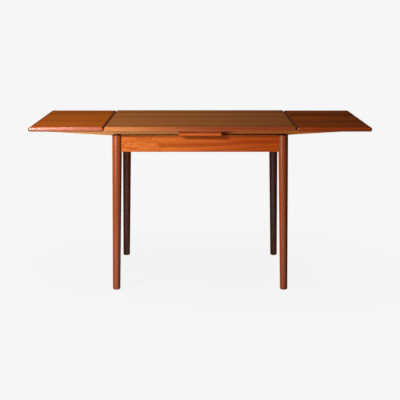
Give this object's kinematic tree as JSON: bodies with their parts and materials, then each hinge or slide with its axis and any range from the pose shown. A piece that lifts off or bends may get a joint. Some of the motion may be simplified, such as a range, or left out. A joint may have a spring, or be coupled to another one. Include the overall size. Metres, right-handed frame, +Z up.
{
  "type": "extending table",
  "caption": "Teak draw-leaf dining table on round tapered legs, with leaves that slide on sloping runners under a loose, lift-up main top.",
  "frame": {"origin": "on the floor, under the middle of the table", "axes": "+X along the table from the left leaf to the right leaf, +Y from front to back, +Z up"},
  "size_m": [1.488, 0.83, 0.73],
  "materials": {
    "teak_veneer": "oiled teak veneer, straight grain along the table",
    "teak_lipping": "oiled solid teak, rounded edges",
    "teak_frame": "oiled teak, figured grain along the rail",
    "teak_leg": "turned and oiled teak, satin",
    "beech": "plain light wood, unstained",
    "screw_steel": "bright steel screws"
  },
  "bodies": {
    "frame": {"front_apron": "teak_frame", "back_apron": "teak_frame", "left_end_rail": "teak_frame", "right_end_rail": "teak_frame", "leg_front_left": "teak_leg", "leg_front_right": "teak_leg", "leg_back_left": "teak_leg", "leg_back_right": "teak_leg", "corner_block_front_left": "beech", "corner_block_front_right": "beech", "corner_block_back_left": "beech", "corner_block_back_right": "beech", "leg_bolt_front_left": "screw_steel", "leg_bolt_front_right": "screw_steel", "leg_bolt_back_left": "screw_steel", "leg_bolt_back_right": "screw_steel", "front_guide_rail": "beech", "back_guide_rail": "beech", "centre_board": "teak_frame", "centre_board_screw_front_left": "screw_steel", "centre_board_screw_front_right": "screw_steel", "centre_board_screw_back_left": "screw_steel", "centre_board_screw_back_right": "screw_steel", "left_leaf_stop_block_front": "beech", "left_leaf_stop_block_back": "beech", "right_leaf_stop_block_front": "beech", "right_leaf_stop_block_back": "beech"},
    "top": {"top_panel": "teak_veneer", "top_front_lipping": "teak_lipping", "top_back_lipping": "teak_lipping", "top_left_lipping": "teak_lipping", "top_right_lipping": "teak_lipping", "guide_pin_front": "beech", "guide_pin_back": "beech"},
    "left_leaf": {"left_leaf_panel": "teak_veneer", "left_leaf_front_lipping": "teak_lipping", "left_leaf_back_lipping": "teak_lipping", "left_leaf_inner_lipping": "teak_lipping", "left_leaf_outer_lipping": "teak_lipping", "left_leaf_runner_front": "beech", "left_leaf_runner_back": "beech", "left_leaf_runner_front_screw_inner": "screw_steel", "left_leaf_runner_front_screw_outer": "screw_steel", "left_leaf_runner_back_screw_inner": "screw_steel", "left_leaf_runner_back_screw_outer": "screw_steel", "left_leaf_stop_peg_front": "beech", "left_leaf_stop_peg_back": "beech"},
    "right_leaf": {"right_leaf_panel": "teak_veneer", "right_leaf_front_lipping": "teak_lipping", "right_leaf_back_lipping": "teak_lipping", "right_leaf_inner_lipping": "teak_lipping", "right_leaf_outer_lipping": "teak_lipping", "right_leaf_runner_front": "beech", "right_leaf_runner_back": "beech", "right_leaf_runner_front_screw_inner": "screw_steel", "right_leaf_runner_front_screw_outer": "screw_steel", "right_leaf_runner_back_screw_inner": "screw_steel", "right_leaf_runner_back_screw_outer": "screw_steel", "right_leaf_stop_peg_front": "beech", "right_leaf_stop_peg_back": "beech"}
  },
  "joints": [
    {"name": "top_lift", "type": "slide", "parent": "frame", "child": "top", "axis": [0, 0, 1], "range_m": [0, 0.65]},
    {"name": "left_leaf_slide", "type": "slide", "parent": "frame", "child": "left_leaf", "axis": [0.9983, 0, -0.0578], "range_m": [0, 0.32505]},
    {"name": "right_leaf_slide", "type": "slide", "parent": "frame", "child": "right_leaf", "axis": [-0.9983, 0, -0.0578], "range_m": [0, 0.32505]}
  ],
  "couplings": [
    {"joint": "left_leaf_slide", "follows": "top_lift", "ratio": 0.50007},
    {"joint": "right_leaf_slide", "follows": "top_lift", "ratio": 0.50007}
  ]
}
